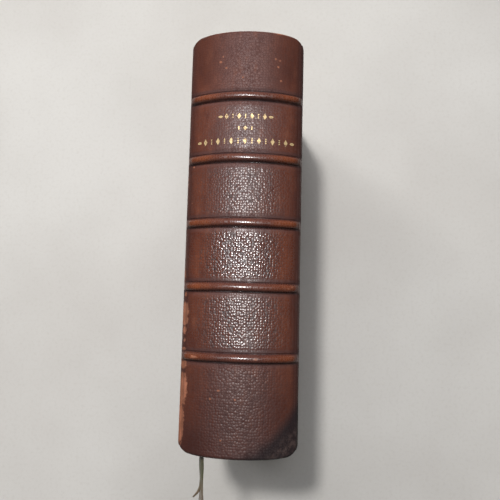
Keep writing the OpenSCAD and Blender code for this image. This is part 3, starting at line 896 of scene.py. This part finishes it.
def end_band(name, material):
    """An endband: silk wound over a core, as one beaded roll along the back of the leaves."""
    low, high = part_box(name)
    core = (high.y - low.y) / 2
    middle = (high.y + low.y) / 2
    radius = high.z - SPINE_Z - core
    reach = math.asin(high.x / (radius + core))
    wraps, per_wrap = 42, 6
    upright, aside = Matrix.Rotation(math.pi / 2, 3, "Y"), Matrix.Rotation(-reach, 3, "Y")
    bm = bmesh.new()
    made = bmesh.ops.create_circle(bm, segments=14, radius=core)
    bmesh.ops.rotate(bm, verts=made["verts"], cent=(0, 0, 0), matrix=upright)
    bmesh.ops.translate(bm, verts=made["verts"], vec=(0, middle, SPINE_Z + radius))
    bmesh.ops.rotate(bm, verts=made["verts"], cent=(0, 0, SPINE_Z), matrix=aside)
    bmesh.ops.spin(bm, geom=list(bm.verts) + list(bm.edges), cent=(0, 0, SPINE_Z), axis=(0, 1, 0),
                   angle=2 * reach, steps=wraps * per_wrap)
    fill_ends(bm)
    for vertex in bm.verts:
        angle = math.atan2(vertex.co.x, vertex.co.z - SPINE_Z)
        centre = Vector((radius * math.sin(angle), middle, SPINE_Z + radius * math.cos(angle)))
        swell = abs(math.sin((angle / reach + 1) / 2 * wraps * math.pi))
        vertex.co = centre + (vertex.co - centre) * (0.86 + 0.14 * swell)
    piece = finished(bm, name + "_silk", material, sharp=60)
    x, _, z = points_of(piece)
    turn = (np.arctan2(x, z - SPINE_Z / MM) / reach + 1) / 2 * wraps
    paint(piece, "stripe", turn % STRIPE_TURNS < STRIPE_TURNS / 2)
    return piece


# The ribbon's route from inside the leaves to its free end, and how far it has turned at each point
RIBBON_ROUTE = [(-11.4, -50, 75.8), (-11.4, -54, 75.8), (-11.4, -58, 75.8), (-11.4, -62.5, 75.8),
                (-11.4, -66, 75.7), (-11.4, -70, 75.2), (-11.4, -74, 74.3), (-11.5, -78, 72.8),
                (-11.7, -81.8, 70.6), (-11.9, -85.2, 67.7), (-12.1, -88.2, 64.2), (-12.3, -90.6, 60.1),
                (-12.5, -92.4, 55.7), (-12.6, -93.6, 51.1), (-12.6, -94.3, 46.5)]
RIBBON_TURN = [0, 0, 0, 2, 28, 34, 24, 24, 34, 52, 72, 85, 90, 95, 95]
STRAND_ROUTE = [(-11.5, -74.5, 74.3), (-11.7, -76.5, 73.6), (-12.3, -78.2, 72.8), (-13.2, -79.6, 71.7),
                (-14.1, -80.8, 70.4)]
STRAND_TURN = [24, 28, 45, 55, 60]
STRAND_START = 24.5 * MM
RIBBON_W = 3.2 * MM
RIBBON_T = 0.25 * MM


def smooth_route(points, pieces):
    """Points on a smooth curve through the given ones."""
    route = []
    for i in range(len(points) - 1):
        p = [Vector(points[max(0, min(len(points) - 1, i + k))]) for k in (-1, 0, 1, 2)]
        square = 2 * p[0] - 5 * p[1] + 4 * p[2] - p[3]
        cube = 3 * p[1] - p[0] - 3 * p[2] + p[3]
        for step in range(pieces):
            t = step / pieces
            route.append(0.5 * (2 * p[1] + (p[2] - p[0]) * t + square * t * t + cube * t ** 3))
    return route + [Vector(points[-1])]


def strip_frame(route, turns, i):
    """Directions across and out of a flat strip at a point of its route."""
    last = len(route) - 1
    forward = (route[min(i + 1, last)] - route[max(i - 1, 0)]).normalized()
    level = Vector((1, 0, 0)).cross(forward).normalized()
    flat = forward.cross(level)
    turn = math.radians(turns[i])
    across = level * math.cos(turn) - flat * math.sin(turn)
    return across, flat * math.cos(turn) + level * math.sin(turn)


def flat_strip(name, route, turns, width, material, frayed, start=0.0):
    """A flat woven strip along a route; its width lies upright where the turn is 0."""
    steps = len(route) - 1
    columns = 12
    across = [-1 + 2 * i / columns for i in range(columns + 1)]
    loop = [(1, c) for c in across] + [(-1, c) for c in reversed(across)]
    bm = swept([(side, 0, c) for side, c in loop], (0, steps, 0), steps)
    along = [0.0]
    for before, after in zip(route, route[1:]):
        along.append(along[-1] + (after - before).length)
    layers = {label: bm.verts.layers.float.new(label) for label in ("along", "across")}
    for vertex in bm.verts:
        i, side, c = round(vertex.co.y), vertex.co.x, vertex.co.z
        edge, face = strip_frame(route, turns, i)
        left = along[-1] - along[i]
        narrow = 1 - 0.45 * max(0.0, 1 - left / frayed)
        half = width / 2 * narrow * (1 + 0.05 * noise.noise(Vector((i * 0.9, c, 4))))
        thick = RIBBON_T * (0.28 if abs(c) > 0.98 else 0.5)
        cup = 0.10 * width * c * c
        vertex.co = route[i] + edge * (c * half) + face * (side * thick + cup)
        vertex[layers["along"]] = start + along[i]
        vertex[layers["across"]] = c * width / 2
    return finished(bm, name, material, sharp=50)


def spread(turns, pieces):
    """The turn at each point of a smoothed route."""
    between = [a + (b - a) * k / pieces for a, b in zip(turns, turns[1:]) for k in range(pieces)]
    return between + [turns[-1]]


def ribbon(material):
    """The ribbon marker, with its smoothed route and its length."""
    pieces = 6
    route = smooth_route([Vector(p) * MM for p in RIBBON_ROUTE], pieces)
    strip = flat_strip("ribbon", route, spread(RIBBON_TURN, pieces), RIBBON_W, material, 9 * MM)
    return strip, route, sum((b - a).length for a, b in zip(route, route[1:]))


def torn_strand(material):
    """A strand of the ribbon's back edge, torn off and hanging beside it."""
    pieces = 6
    route = smooth_route([Vector(p) * MM for p in STRAND_ROUTE], pieces)
    turns = spread(STRAND_TURN, pieces)
    return flat_strip("torn_strand", route, turns, 0.9 * MM, material, 6 * MM, STRAND_START)


def lozenge(bm, x, y, half_w, half_h, corners=4):
    """A small flat ornament laid on the rounded spine."""
    made = bmesh.ops.create_circle(bm, cap_ends=True, segments=corners, radius=1)
    for vertex in made["verts"]:
        u, v = vertex.co.x, vertex.co.y
        place_on_spine(vertex, x + u * half_w, y + v * half_h)


def place_on_spine(vertex, x, y):
    radius = SPINE_R + 0.035 * MM
    angle = x / SPINE_R
    vertex.co = (radius * math.sin(angle), y, SPINE_Z + radius * math.cos(angle))


# Rows of gilt ornament in the second panel, as (y, left end, right end, number of ornaments,
# half-height), in millimetres
GILT_ROWS = [(37.2, -7.6, 8.2, 9, 0.95), (33.4, -1.7, 2.3, 3, 0.7), (29.4, -14.6, 15.2, 15, 1.1)]


def gilt_tooling(material):
    """Generic tooling in gold: lozenges with dots between them, and a leaf at each end of a row."""
    bm = bmesh.new()
    for y, left, right, count, half in GILT_ROWS:
        for i in range(count):
            x = left + (right - left) * i / (count - 1)
            if i in (0, count - 1) and count > 3:
                lozenge(bm, x * MM, y * MM, 0.75 * MM, 0.4 * half * MM, 10)
            elif i % 2:
                lozenge(bm, x * MM, y * MM, 0.62 * MM, half * MM)
            else:
                for lift in (-0.55, 0, 0.55):
                    lozenge(bm, x * MM, (y + lift * half) * MM, 0.22 * MM, 0.22 * MM, 8)
    solid = bmesh.ops.extrude_face_region(bm, geom=list(bm.faces))
    sunk = [item for item in solid["geom"] if isinstance(item, bmesh.types.BMVert)]
    for vertex in sunk:
        out = Vector((vertex.co.x, 0, vertex.co.z - SPINE_Z)).normalized()
        vertex.co -= out * 0.06 * MM
    return finished(bm, "gilt_tooling", material)


def make_floor(material):
    bm = bmesh.new()
    bmesh.ops.create_grid(bm, x_segments=1, y_segments=1, size=1.5)
    floor = finished(bm, "floor", material)


def dress_nodes(materials):
    """Materials for the nodes that stay as the frame has them."""
    wanted = {"front_flyleaf": "paper", "back_flyleaf": "paper", "front_pastedown": "paper",
              "back_pastedown": "paper", "spine_inlay": "card", "spine_lining": "linen"}
    wanted.update({f"band_{i}": "card" for i in range(1, 6)})
    wanted.update({f"sewing_cord_{i}": "cord" for i in range(1, 5)})
    for name, kind in wanted.items():
        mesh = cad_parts[name].data
        mesh.materials.clear()
        mesh.materials.append(materials[kind])


def build():
    make_camera()
    make_light()
    bpy.context.scene.view_settings.view_transform = "Standard"
    groups = {"grain": pebble_group(), "blotch": blotch_group()}
    leather = leather_material(groups)
    materials = {"paper": paper_material(),
                 "card": fibre_material("card", (0.24, 0.18, 0.115), (0.40, 0.32, 0.21), 900.0, 0.0001),
                 "linen": fibre_material("linen", (0.38, 0.32, 0.21), (0.56, 0.49, 0.36), 2200.0,
                                         0.00008),
                 "cord": fibre_material("hemp", (0.30, 0.23, 0.13), (0.52, 0.43, 0.28), 3200.0, 0.0001)}
    strip, route, length = ribbon(ribbon_material())
    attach(strip, "book_block")
    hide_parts("ribbon_marker")
    strand = torn_strand(strip.data.materials[0])
    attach(strand, "book_block")
    make_floor(floor_material())
    dress_nodes(materials)

    spine = spine_skin(leather)
    paint_leather(spine)
    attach(spine, "book_block")
    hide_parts("spine_leather")

    gilt = gilt_tooling(gilt_material())
    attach(gilt, "book_block")

    for side, word in ((1, "front"), (-1, "back")):
        skin = cover_skin(side, f"{word}_goatskin", leather)
        paint_leather(skin)
        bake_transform(skin)
        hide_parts(f"{word}_leather")

        inside = board(side, f"{word}_card", materials["card"])
        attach(inside, f"{word}_cover")
        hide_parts(f"{word}_board")

    leaves = page_block(page_edge_material())
    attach(leaves, "book_block")
    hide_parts("text_block")

    silk = silk_material()
    for name in ("head_band", "tail_band"):
        band = end_band(name, silk)
        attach(band, "book_block")
        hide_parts(name)


build()
